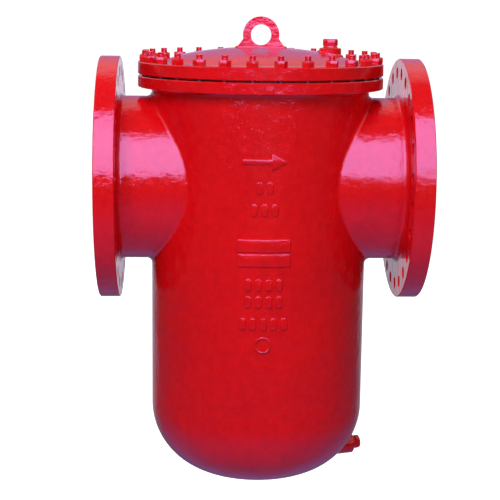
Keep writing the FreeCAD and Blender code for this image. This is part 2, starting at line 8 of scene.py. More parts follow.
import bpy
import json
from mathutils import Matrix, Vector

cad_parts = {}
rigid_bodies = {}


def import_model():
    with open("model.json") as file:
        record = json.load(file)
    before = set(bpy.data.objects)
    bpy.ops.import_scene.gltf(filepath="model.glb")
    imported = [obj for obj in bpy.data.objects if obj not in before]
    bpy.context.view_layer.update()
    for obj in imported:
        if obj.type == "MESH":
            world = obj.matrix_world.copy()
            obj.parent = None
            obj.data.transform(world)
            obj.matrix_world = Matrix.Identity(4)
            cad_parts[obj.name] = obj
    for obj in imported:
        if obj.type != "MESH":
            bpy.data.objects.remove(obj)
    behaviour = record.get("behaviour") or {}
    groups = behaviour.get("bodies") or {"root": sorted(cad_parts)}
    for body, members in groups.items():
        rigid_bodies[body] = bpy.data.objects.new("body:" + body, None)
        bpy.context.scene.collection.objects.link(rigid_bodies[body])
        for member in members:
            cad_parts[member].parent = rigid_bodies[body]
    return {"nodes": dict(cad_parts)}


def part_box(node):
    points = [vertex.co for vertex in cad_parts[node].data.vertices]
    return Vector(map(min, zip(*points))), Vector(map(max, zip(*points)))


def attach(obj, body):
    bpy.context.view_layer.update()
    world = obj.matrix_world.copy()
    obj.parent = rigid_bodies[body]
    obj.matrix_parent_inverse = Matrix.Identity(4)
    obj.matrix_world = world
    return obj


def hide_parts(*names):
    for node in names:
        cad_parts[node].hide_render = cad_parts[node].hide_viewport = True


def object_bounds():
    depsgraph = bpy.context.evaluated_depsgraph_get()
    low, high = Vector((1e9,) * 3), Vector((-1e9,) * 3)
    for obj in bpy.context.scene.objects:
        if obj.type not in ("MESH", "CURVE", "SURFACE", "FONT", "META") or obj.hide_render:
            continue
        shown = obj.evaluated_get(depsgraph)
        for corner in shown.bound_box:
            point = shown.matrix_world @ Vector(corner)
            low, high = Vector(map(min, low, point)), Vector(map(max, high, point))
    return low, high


bl_info = {
    "name": "Basket strainer",
    "version": (1, 0, 0),
    "blender": (4, 5, 0),
    "location": "View3D > Sidebar > Strainer",
    "description": "Paints and dresses a flanged basket strainer around its packed CAD model",
    "category": "Add Mesh",
}

import json
import math
import random

import bmesh
import bpy
from bpy.props import FloatProperty, FloatVectorProperty
from mathutils import Matrix, Vector

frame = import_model()
CAD_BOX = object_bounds()
MM = 0.001

# ---- Places and sizes read from the CAD pieces ----
INLET_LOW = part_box("inlet_nozzle")[0]
OUTLET_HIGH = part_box("outlet_nozzle")[1]
FLANGE_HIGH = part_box("body_flange")[1]
BOTTOM_LOW, BOTTOM_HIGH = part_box("bowl_bottom")
COVER_LOW, COVER_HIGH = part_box("cover")
NUTS_LOW, NUTS_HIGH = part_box("cover_nuts")
STUDS_LOW, STUDS_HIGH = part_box("cover_studs")
LUG_LOW, LUG_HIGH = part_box("lifting_lug")
VENT_LOW, VENT_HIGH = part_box("vent_boss")
PLUG_LOW, PLUG_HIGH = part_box("vent_plug")
DRAIN_SEAL_LOW, DRAIN_SEAL_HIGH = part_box("drain_seal")
CLOTH_LOW, CLOTH_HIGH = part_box("basket_mesh")
FLOOR_LOW, FLOOR_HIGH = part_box("basket_floor")
RIM_LOW, RIM_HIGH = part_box("basket_rim")
AXIS_X = (INLET_LOW.x + OUTLET_HIGH.x) / 2
AXIS = Vector((AXIS_X, 0.0, 0.0))
HALF_LENGTH = (OUTLET_HIGH.x - INLET_LOW.x) / 2
BOWL_R = (BOTTOM_HIGH.y - BOTTOM_LOW.y) / 2
BASKET_R = (FLOOR_HIGH.y - FLOOR_LOW.y) / 2
RIM_R = (RIM_HIGH.y - RIM_LOW.y) / 2
BOSS_R = (VENT_HIGH.x - VENT_LOW.x) / 2
DOME_TOP = COVER_HIGH.z
DOME_RISE = DOME_TOP - NUTS_LOW.z
DRAIN_Z = (DRAIN_SEAL_LOW.z + DRAIN_SEAL_HIGH.z) / 2

# ---- Sizes that the boxes of the CAD pieces do not give ----
WALL = 22 * MM
CAVITY_R = BOWL_R - WALL
BORE_R = 219 * MM
RAISED_FACE_R = 266.7 * MM
GASKET_FACE_R = 328 * MM
STRAIGHT_BOTTOM = -690 * MM
CROWN_R = 800 * MM
KNUCKLE_R = 205 * MM
DOME_SHOULDER_R = 215 * MM
DOME_SHOULDER_DROP = 20.5 * MM
DOME_FOOT_R = 286 * MM
STUD_COUNT = 28
STUD_CIRCLE_R = 339.5 * MM
STUD_R = 9.5 * MM
NUT_FLATS = 31.7 * MM
PLUG_FLATS = 38 * MM
PLUG_HEAD = 24 * MM
PLUG_SHANK_R = 16.5 * MM
PLUG_SHANK = 22 * MM
SEAL_T = 2 * MM
DRAIN_TURN = math.radians(18)
DRAIN_REACH = BOWL_R + 5 * MM
SEAT_SLOPE = 245.6 / 298  # how far the seat rises over the bowl's inner radius, both in millimetres
MASK_EDGE = 0.6 * MM  # softness of the line between paint and bare metal
ROUND_STEPS = 48  # sides of the nuts' and plugs' round faces


# ---- What a user may change ----
def millimetres(name, description, default, low=0.1, high=500.0):
    """A length property, kept in metres and shown in the scene's units."""
    return FloatProperty(
        name=name, description=description, default=default * MM, min=low * MM, max=high * MM, unit="LENGTH"
    )


def colour(name, description, default):
    """A colour property."""
    return FloatVectorProperty(
        name=name, description=description, default=default, size=3, min=0.0, max=1.0, subtype="COLOR"
    )


class StrainerSizes(bpy.types.PropertyGroup):
    """Sizes of the pieces that the steps make"""

    thread_pitch: millimetres("Thread pitch", "Pitch of the cover studs' thread", 2.54, 0.5, 6)
    bead: millimetres("Weld bead", "Half width of the weld beads on the cover and the drain", 4.6, 1, 12)
    mark_height: millimetres("Mark height", "How far the cast marks stand out of the bowl", 5.0, 0.5, 8)
    cloth_pitch: millimetres("Cloth pitch", "Distance between neighbouring wires of the cloth", 8.0, 3, 30)
    wire: millimetres("Wire", "Diameter of the wires of the wire cloth", 1.7, 0.2, 5)
    floor_drop: millimetres("Floor drop", "Free height under the bowl", 300, 0, 2000)


class StrainerColours(bpy.types.PropertyGroup):
    """Colours of the finishes and the studio"""

    enamel: colour("Enamel", "Colour of the paint on everything outside", (0.62, 0.004, 0.007))
    thick_enamel: colour("Thick enamel", "Colour where the paint lies thick", (0.50, 0.002, 0.006))
    bare: colour("Bare casting", "Colour of the pickled casting inside", (0.40, 0.385, 0.36))
    steel: colour("Stainless", "Colour of the basket's sheet and bar", (0.60, 0.585, 0.56))
    ground: colour("Floor", "Colour of the studio floor", (0.92, 0.92, 0.92))
    violet: colour("Sky panel", "Tint of the soft light that the paint reflects", (0.42, 0.36, 1.0))


def sizes():
    """The sizes that a user may change."""
    return bpy.context.scene.strainer_sizes


def colours():
    """The colours that a user may change."""
    return bpy.context.scene.strainer_colours


# ---- Shader maths ----
class Signal:
    """A number inside a material, so that masks and patterns are written as sums and products."""

    def __init__(self, tree, socket):
        self.tree = tree
        self.socket = socket

    def _math(self, operation, *values, clamp=False):
        """Adds one Math node that works on these values."""
        node = self.tree.nodes.new("ShaderNodeMath")
        node.operation = operation
        node.use_clamp = clamp
        for slot, value in zip(node.inputs, values):
            feed(self.tree, slot, value)
        return Signal(self.tree, node.outputs[0])

    def __add__(self, other):
        return self._math("ADD", self, other)

    def __radd__(self, other):
        return self._math("ADD", other, self)

    def __sub__(self, other):
        return self._math("SUBTRACT", self, other)

    def __rsub__(self, other):
        return self._math("SUBTRACT", other, self)

    def __mul__(self, other):
        return self._math("MULTIPLY", self, other)

    def __rmul__(self, other):
        return self._math("MULTIPLY", other, self)

    def __pow__(self, other):
        return self._math("POWER", self, other)

    def sine(self):
        """A wave between -1 and 1."""
        return self._math("SINE", self)

    def size(self):
        """The number without its sign."""
        return self._math("ABSOLUTE", self)

    def larger(self, other):
        """The larger of two numbers, which joins two masks."""
        return self._math("MAXIMUM", self, other)

    def above(self, edge, softness):
        """0 below the edge and 1 above it, with a straight ramp of this width between."""
        return self._math("ADD", (self - edge) * (1 / softness), 0.5, clamp=True)

    def below(self, edge, softness):
        """1 below the edge and 0 above it."""
        return 1 - self.above(edge, softness)


def feed(tree, slot, value):
    """Links a signal or a socket to an input, or sets the input's own value."""
    if isinstance(value, Signal):
        value = value.socket
    if isinstance(value, bpy.types.NodeSocket):
        tree.links.new(value, slot)
    elif slot.type == "RGBA":
        slot.default_value = (*value, 1.0)
    else:
        slot.default_value = value


class Finish:
    """One material, built node by node around a Principled shader."""

    def __init__(self, name):
        self.material = bpy.data.materials.new(name)
        self.material.use_nodes = True
        self.tree = self.material.node_tree
        self.tree.nodes.clear()
        self.shader = self.node("ShaderNodeBsdfPrincipled")
        self.node("ShaderNodeOutputMaterial", {}, {"Surface": self.shader.outputs["BSDF"]})
        self.place = self.node("ShaderNodeTexCoord").outputs["Object"]
        split = self.node("ShaderNodeSeparateXYZ", {}, {"Vector": self.place})
        self.x, self.y, self.z = [Signal(self.tree, output) for output in split.outputs]

    def node(self, kind, settings=None, inputs=None):
        """Adds a node: its settings first, then the values or links of its sockets."""
        node = self.tree.nodes.new(kind)
        for name, value in (settings or {}).items():
            setattr(node, name, value)
        for name, value in (inputs or {}).items():
            feed(self.tree, node.inputs[name], value)
        return node

    def set(self, **values):
        """Sets or links the shader's own sockets; an underscore in a name stands for a space."""
        for name, value in values.items():
            feed(self.tree, self.shader.inputs[name.replace("_", " ").title().replace("Ior", "IOR")], value)

    def noise(self, scale, detail=2.0, roughness=0.5, stretch=None):
        """A cloudy pattern between 0 and 1, finer or coarser along each axis if it is stretched."""
        place = self.place
        if stretch:
            mapping = self.node("ShaderNodeMapping", {}, {"Vector": place, "Scale": stretch})
            place = mapping.outputs["Vector"]
        inputs = {"Vector": place, "Scale": scale, "Detail": detail, "Roughness": roughness}
        return Signal(self.tree, self.node("ShaderNodeTexNoise", {}, inputs).outputs["Fac"])

    def mix(self, factor, first, second):
        """A colour that goes from the first to the second as the factor goes from 0 to 1."""
        node = self.node("ShaderNodeMix", {"data_type": "RGBA"})
        for index, value in ((0, factor), (6, first), (7, second)):
            feed(self.tree, node.inputs[index], value)
        return node.outputs[2]

    def bump(self, height, distance, under=None):
        """A normal bent by a height pattern, over another one if there is one."""
        inputs = {"Height": height, "Distance": distance, "Strength": 1.0}
        if under is not None:
            inputs["Normal"] = under
        return self.node("ShaderNodeBump", {}, inputs).outputs["Normal"]

    def axis_radius(self):
        """Distance from the bowl's axis."""
        across = self.x - AXIS_X
        return (across * across + self.y * self.y) ** 0.5

    def in_cavity(self, softness):
        """1 inside the bowl's wall, down to and within its dished bottom."""
        radius = self.axis_radius()
        knuckle_at, turn, crown_centre = dish()
        below_crown = self.z - crown_centre
        from_crown = (radius * radius + below_crown * below_crown) ** 0.5
        beside = radius - knuckle_at
        below_knuckle = self.z - STRAIGHT_BOTTOM
        from_knuckle = (beside * beside + below_knuckle * below_knuckle) ** 0.5
        in_crown = from_crown.below(CROWN_R - WALL / 2, softness)
        in_knuckle = from_knuckle.below(KNUCKLE_R - WALL / 2, softness)
        in_dish = in_crown * in_knuckle.larger(radius.below(CROWN_R * math.sin(turn), softness))
        in_height = in_dish.larger(self.z.above(STRAIGHT_BOTTOM, softness))
        return radius.below(CAVITY_R + softness, softness) * in_height

    def pipe_radius(self):
        """Distance from the pipe's axis."""
        return (self.y * self.y + self.z * self.z) ** 0.5


# ---- Finishes ----
def enamel_layers(finish, lumps):
    """Colour, roughness and surface of thick glossy enamel; lumps is how uneven the metal under it is."""
    waves = finish.noise(7.0, 2.0)
    cast = finish.noise(42.0, 4.0, 0.6)
    peel = finish.noise(260.0, 2.0)
    runs = finish.noise(5.0, 3.0, 0.6, (7.0, 7.0, 1.0))
    patches = finish.noise(3.2, 3.0, 0.6)
    thick = (cast * 0.5 + patches * 0.5).above(0.52, 0.28)
    shade = finish.mix(thick, colours().enamel, colours().thick_enamel)
    rough = 0.05 + 0.09 * patches
    normal = finish.bump(waves, 6 * MM * lumps)
    normal = finish.bump(cast, 2.2 * MM * lumps, normal)
    normal = finish.bump(runs, 1.6 * MM * lumps, normal)
    normal = finish.bump(peel, 0.2 * MM, normal)
    return shade, rough, normal


def enamel(name, lumps):
    """Glossy red enamel on a piece that is painted all over."""
    finish = Finish(name)
    shade, rough, normal = enamel_layers(finish, lumps)
    finish.set(base_color=shade, roughness=rough, normal=normal)
    return finish.material


def bare_layers(finish, mask, shade, rough, normal):
    """Lays bare pickled casting over the enamel where the mask is 1."""
    grain = finish.noise(160.0, 4.0, 0.6)
    stain = finish.noise(11.0, 4.0, 0.6)
    metal = finish.mix(stain, colours().bare, [0.7 * channel for channel in colours().bare])
    shade = finish.mix(mask, shade, metal)
    rough = rough * (1 - mask) + (0.40 + 0.2 * grain) * mask
    normal = finish.bump(grain * mask, 0.5 * MM, normal)
    finish.set(base_color=shade, roughness=rough, normal=normal, metallic=mask * 0.35)


def stud_finish():
    """Enamel on the part that stands above the nut; below it bare steel, coloured near black as painted shade
    where the shank shows in the gap between the flanges.
    """
    finish = Finish("stud_steel")
    shade, rough, normal = enamel_layers(finish, 0.3)
    # Below the nut: bare steel whose near-black colour is painted shade for the dark gap between the flanges.
    under = finish.z.below(NUTS_HIGH.z, 1 * MM)
    finish.set(base_color=finish.mix(under, shade, (0.045, 0.042, 0.04)), roughness=rough + under * 0.25)
    finish.set(normal=normal, metallic=under * 0.6)
    return finish.material


def casting_finish():
    """Enamel outside; bare metal in the bowl, in the bores and on the turned sealing faces."""
    finish = Finish("cast_enamel")
    shade, rough, normal = enamel_layers(finish, 0.75)
    edge = MASK_EDGE
    radius = finish.axis_radius()
    bore = finish.pipe_radius()
    bowl_inside = finish.in_cavity(edge)
    bore_inside = bore.below(BORE_R + edge, edge)
    along = (finish.x - AXIS_X).size()
    pipe_face = along.above(HALF_LENGTH - edge, edge) * bore.below(RAISED_FACE_R + edge, edge)
    gasket_face = radius.below(GASKET_FACE_R, edge) * finish.z.above(FLANGE_HIGH.z - edge, edge)
    turned = pipe_face.larger(gasket_face)
    mask = bowl_inside.larger(bore_inside).larger(turned)
    groove_pitch = 2.4 * MM
    grooves = (bore * (2 * math.pi / groove_pitch)).sine() * pipe_face
    normal = finish.bump(grooves, 0.2 * MM, normal)
    bare_layers(finish, mask, shade, rough, normal)
    return finish.material


def cover_finish():
    """Enamel on the outside of the cover and bare metal under it, inside the gasket."""
    finish = Finish("cover_enamel")
    shade, rough, normal = enamel_layers(finish, 0.6)
    edge = MASK_EDGE
    radius = finish.axis_radius()
    crown_diameter = 2.5
    within_wall = DOME_TOP - 11 * MM - radius * radius * (1 / crown_diameter)
    under_dome = (within_wall - finish.z).above(0.0, edge) * radius.below(CAVITY_R - 9 * MM, edge)
    flat_face = radius.below(GASKET_FACE_R + edge, edge) * finish.z.below(COVER_LOW.z + edge, edge)
    bare_layers(finish, under_dome.larger(flat_face), shade, rough, normal)
    return finish.material


def steel_finish(name, tint=1.0, rough=0.3, grain_scale=(1.0, 1.0, 60.0)):
    """Rolled and pickled stainless: fine drawn grain, faint cloudy stains."""
    finish = Finish(name)
    grain = finish.noise(40.0, 3.0, 0.6, grain_scale)
    clouds = finish.noise(6.0, 4.0, 0.6)
    light = [tint * channel for channel in colours().steel]
    shade = finish.mix(clouds, light, [0.78 * channel for channel in light])
    finish.set(base_color=shade, metallic=1.0, roughness=rough + 0.18 * clouds + 0.06 * grain)
    finish.set(normal=finish.bump(grain, 0.12 * MM))
    return finish.material


def winding_finish():
    """Spiral-wound gasket: thin steel rings with graphite between them."""
    finish = Finish("gasket_winding")
    strip_pitch = 1.6 * MM
    rings = (finish.axis_radius() * (2 * math.pi / strip_pitch)).sine()
    steel = rings.above(0.4, 0.4)
    speckle = finish.noise(300.0, 2.0)
    shade = finish.mix(steel, (0.035, 0.035, 0.04), (0.45, 0.44, 0.43))
    finish.set(base_color=shade, metallic=steel * 0.9, roughness=0.42 + 0.2 * speckle)
    finish.set(normal=finish.bump(rings, 0.2 * MM))
    return finish.material


def copper_finish():
    """Soft copper sealing ring, slightly tarnished."""
    finish = Finish("seal_copper")
    tarnish = finish.noise(90.0, 4.0, 0.6)
    shade = finish.mix(tarnish.above(0.5, 0.3), (0.72, 0.36, 0.22), (0.38, 0.17, 0.10))
    finish.set(base_color=shade, metallic=1.0, roughness=0.28 + 0.2 * tarnish)
    finish.set(normal=finish.bump(tarnish, 0.1 * MM))
    return finish.material


def paint_node(node, material):
    """Gives a CAD piece its finish."""
    slots = frame["nodes"][node].material_slots
    if not slots:
        frame["nodes"][node].data.materials.append(material)
    for slot in slots:
        slot.material = material


# ---- Mesh helpers ----
def new_piece(name, bm, material, body, replaces=(), crease=40.0):
    """Makes a mesh a piece that rides on a CAD body, with hard edges where it turns more than the crease."""
    bmesh.ops.remove_doubles(bm, verts=bm.verts, dist=1e-6)
    bmesh.ops.recalc_face_normals(bm, faces=bm.faces)
    for face in bm.faces:
        face.smooth = True
    for edge in bm.edges:
        if len(edge.link_faces) == 2 and edge.calc_face_angle(0.0) > math.radians(crease):
            edge.smooth = False
    mesh = bpy.data.meshes.new(name)
    bm.to_mesh(mesh)
    bm.free()
    mesh.materials.append(material)
    piece = bpy.data.objects.new(name, mesh)
    bpy.context.scene.collection.objects.link(piece)
    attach(piece, body)
    if replaces:
        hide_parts(*replaces)


def ring_edges(bm, radius_at, height_at, segments):
    """A closed ring of edges about Z whose radius and height are functions of the angle."""
    made = bmesh.ops.create_circle(bm, cap_ends=False, segments=segments, radius=1.0)
    for vert in made["verts"]:
        angle = math.atan2(vert.co.y, vert.co.x)
        radius = radius_at(angle)
        vert.co = Vector((radius * math.cos(angle), radius * math.sin(angle), height_at(angle)))
    verts = set(made["verts"])
    return [edge for edge in bm.edges if edge.verts[0] in verts and edge.verts[1] in verts]


def stack_rings(bm, rings, segments, closed=False):
    """Joins rings, given as (radius, height) numbers or functions of the angle, into one skin."""

    def as_function(value):
        return value if callable(value) else lambda angle: value

    loops = [ring_edges(bm, as_function(radius), as_function(height), segments) for radius, height in rings]
    for lower, upper in zip(loops, loops[1:]):
        bmesh.ops.bridge_loops(bm, edges=lower + upper)
    if closed:
        bmesh.ops.bridge_loops(bm, edges=loops[-1] + loops[0])
    else:
        for loop in (loops[0], loops[-1]):
            bmesh.ops.contextual_create(bm, geom=loop)


def hexagon(flats):
    """Radius of a hexagon with these flats and a corner on X, as a function of the angle."""

    def radius(angle):
        turn = math.radians(60)
        return flats / 2 / math.cos(angle % turn - turn / 2)

    return radius


def chamfered(flats):
    """How far a cone turned over a hexagon lies below its top, as a function of the angle."""
    corner = hexagon(flats)
    cone_r = flats / 2 * 0.985

    def drop(angle):
        return (corner(angle) - cone_r) * math.tan(math.radians(30))

    return drop


def hex_head(bm, flats, bottom, top, bore=0.0):
    """A hexagon nut or bolt head with turned-off corners and edges softened as paint leaves them."""
    soft = 0.7 * MM
    washer_r = flats / 2 * 0.97
    face_r = flats / 2 * 0.93
    corner = hexagon(flats)
    drop = chamfered(flats)

    def inner(angle):
        return corner(angle) - soft * 0.4

    def foot(angle):
        return bottom + drop(angle) * 0.5

    def foot_soft(angle):
        return foot(angle) + soft

    def edge(angle):
        return top - drop(angle)

    def edge_soft(angle):
        return edge(angle) - soft

    rings = [
        (face_r, bottom),
        (washer_r, bottom),
        (inner, foot),
        (corner, foot_soft),
        (corner, edge_soft),
        (inner, edge),
        (washer_r, top - soft * 0.2),
        (face_r, top),
    ]
    if bore:
        rings = [(bore, bottom + soft), (bore + soft, bottom)] + rings
        rings += [(bore + soft, top), (bore, top - soft)]
    stack_rings(bm, rings, ROUND_STEPS, closed=bool(bore))


def copy_into(target, source, matrix):
    """Adds a moved copy of one bmesh to another."""
    mesh = bpy.data.meshes.new("copy")
    source.to_mesh(mesh)
    mesh.transform(matrix)
    target.from_mesh(mesh)
    bpy.data.meshes.remove(mesh)


def stud_places():
    """Each stud's place on the flange, with its number."""
    for k in range(STUD_COUNT):
        angle = 2 * math.pi * (k + 0.5) / STUD_COUNT
        yield k, AXIS + Vector((STUD_CIRCLE_R * math.cos(angle), STUD_CIRCLE_R * math.sin(angle), 0.0))


def dish():
    """The dished bottom: its knuckle's centre, the angle where its two arcs meet, and its crown's centre."""
    knuckle_at = BOWL_R - KNUCKLE_R
    turn = math.asin(knuckle_at / (CROWN_R - KNUCKLE_R))
    drop = CROWN_R - (CROWN_R - KNUCKLE_R) * math.cos(turn)
    return knuckle_at, turn, STRAIGHT_BOTTOM - drop + CROWN_R


def head_radius(z):
    """Outer radius of the dished bottom at a height."""
    knuckle_at, turn, crown_centre = dish()
    if z > STRAIGHT_BOTTOM:
        return BOWL_R
    if z > crown_centre - CROWN_R * math.cos(turn):
        return knuckle_at + math.sqrt(max(0.0, KNUCKLE_R**2 - (z - STRAIGHT_BOTTOM) ** 2))
    return math.sqrt(max(0.0, CROWN_R**2 - (z - crown_centre) ** 2))


def dome_surface(radius):
    """Height of the cover's dome at a distance from its axis, out to the dome's foot."""
    if radius < DOME_SHOULDER_R:
        crown = (DOME_SHOULDER_R**2 + DOME_SHOULDER_DROP**2) / (2 * DOME_SHOULDER_DROP)
        return DOME_TOP - (crown - math.sqrt(crown**2 - radius**2))
    share = (radius - DOME_SHOULDER_R) / (DOME_FOOT_R - DOME_SHOULDER_R)
    return DOME_TOP - DOME_SHOULDER_DROP - (DOME_RISE - DOME_SHOULDER_DROP) * share**1.25


def full_turn(count):
    """Evenly spaced angles round a circle."""
    return [2 * math.pi * k / count for k in range(count)]


def cut(bm, point, normal, clear=False):
    """Splits every face that a plane crosses, and clears what lies beyond it if asked."""
    geometry = bm.verts[:] + bm.edges[:] + bm.faces[:]
    bmesh.ops.bisect_plane(bm, geom=geometry, dist=1e-7, plane_co=point, plane_no=normal, clear_outer=clear)


def rounded_box(width, height, corner, steps=5):
    """Outline of a box with round corners, about its middle."""
    points = []
    for quarter, (sx, sz) in enumerate(((1, 1), (-1, 1), (-1, -1), (1, -1))):
        for k in range(steps + 1):
            turn = math.pi / 2 * (quarter + k / steps)
            x = sx * (width / 2 - corner) + corner * math.cos(turn)
            z = sz * (height / 2 - corner) + corner * math.sin(turn)
            points.append((x, z))
    return points


def weld_bead(name, points, body, thickness=1.0, finish="small_enamel"):
    """A rippled fillet weld along a closed line of points, as a share of the usual thickness."""
    curve = bpy.data.curves.new(name, "CURVE")
    curve.dimensions = "3D"
    curve.bevel_depth = sizes().bead * thickness
    curve.bevel_resolution = 3
    spline = curve.splines.new("POLY")
    spline.points.add(len(points) - 1)
    spline.use_cyclic_u = True
    for k, (knot, point) in enumerate(zip(spline.points, points)):
        knot.co = (*point, 1.0)
        knot.radius = 1.0 + 0.10 * math.sin(k * 2 * math.pi / 3.0) + random.uniform(-0.05, 0.05)
    holder = bpy.data.objects.new(name + "_line", curve)
    bpy.context.scene.collection.objects.link(holder)
    bpy.context.view_layer.update()
    mesh = bpy.data.meshes.new_from_object(holder.evaluated_get(bpy.context.evaluated_depsgraph_get()))
    bm = bmesh.new()
    bm.from_mesh(mesh)
    bpy.data.meshes.remove(mesh)
    bpy.data.objects.remove(holder)
    bpy.data.curves.remove(curve)
    new_piece(name, bm, bpy.data.materials[finish], body, crease=80.0)


# ---- Operators ----
class STRAINER_OT_castings(bpy.types.Operator):
    """Paint the casting, the cover and everything welded to them"""

    bl_idname = "strainer.castings"
    bl_label = "Painted castings"

    def execute(self, context):
        cast = casting_finish()
        for node in ("bowl_tee", "bowl_bottom", "body_flange", "inlet_nozzle", "outlet_nozzle"):
            paint_node(node, cast)
        paint_node("cover", cover_finish())
        small = enamel("small_enamel", 0.35)
        for node in ("vent_boss", "drain_boss"):
            paint_node(node, small)
        paint_node("lifting_lug", enamel("lug_enamel", 1.5))
        return {"FINISHED"}


class STRAINER_OT_basket_metal(bpy.types.Operator):
    """Give the basket, its seat, the bail, the posts and the seals their metals"""

    bl_idname = "strainer.basket_metal"
    bl_label = "Basket metals and seals"

    def execute(self, context):
        sheet = steel_finish("basket_sheet")
        bar = steel_finish("basket_bar", 0.95, 0.24, (1.0, 1.0, 1.0))
        for node in ("basket_shell", "basket_hoops", "basket_floor", "basket_rim", "basket_seat"):
            paint_node(node, sheet)
        for node in ("bail_handle", "bail_lugs", "bail_washers", "hold_down_posts"):
            paint_node(node, bar)
        paint_node("gasket_inner_ring", steel_finish("gasket_steel", 0.8, 0.35))
        # Outer ring: painted carbon steel, darkened to near black as painted shade for the gap between the
        # flanges.
        paint_node("gasket_outer_ring", steel_finish("gasket_painted", 0.06, 0.5))
        paint_node("gasket_winding", winding_finish())
        copper = copper_finish()
        for node in ("vent_seal", "drain_seal"):
            paint_node(node, copper)
        return {"FINISHED"}


class STRAINER_OT_cast_marks(bpy.types.Operator):
    """Raise the flow arrow, two plain bars, rows of blank slugs and a ring on the front of the bowl"""

    bl_idname = "strainer.cast_marks"
    bl_label = "Cast marks"

    bar_z = -169 * MM
    bar_size = (148 * MM, 35 * MM)
    bar_corner = 3 * MM
    bar_gap = 6 * MM
    slug_rows = ((13 * MM, 2), (-48 * MM, 3), (-259 * MM, 4), (-308 * MM, 4), (-371 * MM, 5))
    slug_size = (19 * MM, 34 * MM)
    slug_corner = 9.31 * MM
    slug_pitch = 29 * MM
    arrow_z = 85 * MM
    arrow_size = (122 * MM, 46 * MM)
    arrow_shaft = 13 * MM
    arrow_head = 42 * MM
    ring_z = -432 * MM
    ring_r = 21 * MM
    ring_w = 5.5 * MM
    root = 4 * MM
    soft_edge = 1.5 * MM
    bend_pitch = 4.5 * MM
    bend_cuts = 18

    def execute(self, context):
        bm = bmesh.new()
        self.flat_face(bm, self.arrow_outline(), self.arrow_z)
        bar = rounded_box(*self.bar_size, self.bar_corner)
        for side in (-1, 1):
            self.flat_face(bm, bar, self.bar_z + side * (self.bar_size[1] + self.bar_gap) / 2)
        slug = rounded_box(*self.slug_size, self.slug_corner)
        for level, count in self.slug_rows:
            for k in range(count):
                self.flat_face(bm, slug, level, (k - (count - 1) / 2) * self.slug_pitch)
        self.raise_faces(bm)
        self.ring(bm)
        self.bend(bm)
        new_piece("cast_marks", bm, bpy.data.materials["cast_enamel"], "vessel", crease=50.0)
        return {"FINISHED"}

    def arrow_outline(self):
        """Outline of the flow arrow, pointing to the outlet."""
        length, width = self.arrow_size
        neck = length / 2 - self.arrow_head
        half = self.arrow_shaft / 2
        upper = [(-length / 2, half), (neck, half), (neck, width / 2), (length / 2, 0.0)]
        return upper + [(x, -z) for x, z in reversed(upper[:-1])]

    def flat_face(self, bm, outline, level, shift=0.0):
        """Adds one flat outline in the XZ plane, at a height and moved sideways."""
        bm.faces.new([bm.verts.new((x + shift, 0.0, level + z)) for x, z in outline])

    def raise_faces(self, bm):
        """Makes every outline a plate, from its root in the wall to the marks' height, with soft edges."""
        bmesh.ops.translate(bm, verts=bm.verts, vec=(0, self.root, 0))
        plates = bmesh.ops.extrude_face_region(bm, geom=bm.faces[:])
        top = [item for item in plates["geom"] if isinstance(item, bmesh.types.BMFace)]
        verts = {vert for face in top for vert in face.verts}
        bmesh.ops.translate(bm, verts=list(verts), vec=(0, -self.root - sizes().mark_height, 0))
        bmesh.ops.bevel(
            bm,
            geom=list({edge for face in top for edge in face.edges}),
            offset=self.soft_edge,
            segments=3,
            profile=0.5,
            affect="EDGES",
            material=-1,
            clamp_overlap=True,
        )
        for step in range(-self.bend_cuts, self.bend_cuts + 1):
            cut(bm, (step * self.bend_pitch, 0, 0), (1, 0, 0))

    def ring(self, bm):
        """The ring under the rows, as a round-topped band."""
        steps = 10
        half = self.ring_w / 2
        rings = [(self.ring_r - half, -self.root)]
        for k in range(steps + 1):
            turn = math.pi * k / steps
            rings.append((self.ring_r - half * math.cos(turn), sizes().mark_height * math.sin(turn) ** 0.7))
        rings.append((self.ring_r + half, -self.root))
        band = bmesh.new()
        stack_rings(band, rings, 40, closed=True)
        copy_into(bm, band, Matrix.Translation((0, 0, self.ring_z)) @ Matrix.Rotation(math.pi / 2, 4, "X"))
        band.free()

    def bend(self, bm):
        """Wraps the flat marks round the bowl."""
        for vert in bm.verts:
            angle = vert.co.x / BOWL_R
            radius = BOWL_R - vert.co.y
            vert.co.x = AXIS_X + radius * math.sin(angle)
            vert.co.y = -radius * math.cos(angle)


class STRAINER_OT_nuts(bpy.types.Operator):
    """Make the heavy hexagon nuts, each left at its own angle"""

    bl_idname = "strainer.nuts"
    bl_label = "Cover nuts"

    thread_room = 0.3 * MM
    turn_step = 37

    def execute(self, context):
        nut = bmesh.new()
        hex_head(nut, NUT_FLATS, NUTS_LOW.z, NUTS_HIGH.z, STUD_R + self.thread_room)
        bm = bmesh.new()
        for k, place in stud_places():
            turn = Matrix.Rotation(math.radians(k * self.turn_step % 60), 4, "Z")
            copy_into(bm, nut, Matrix.Translation(place) @ turn)
        nut.free()
        new_piece("nut_ring", bm, bpy.data.materials["small_enamel"], "nut_set", ("cover_nuts",))
        return {"FINISHED"}


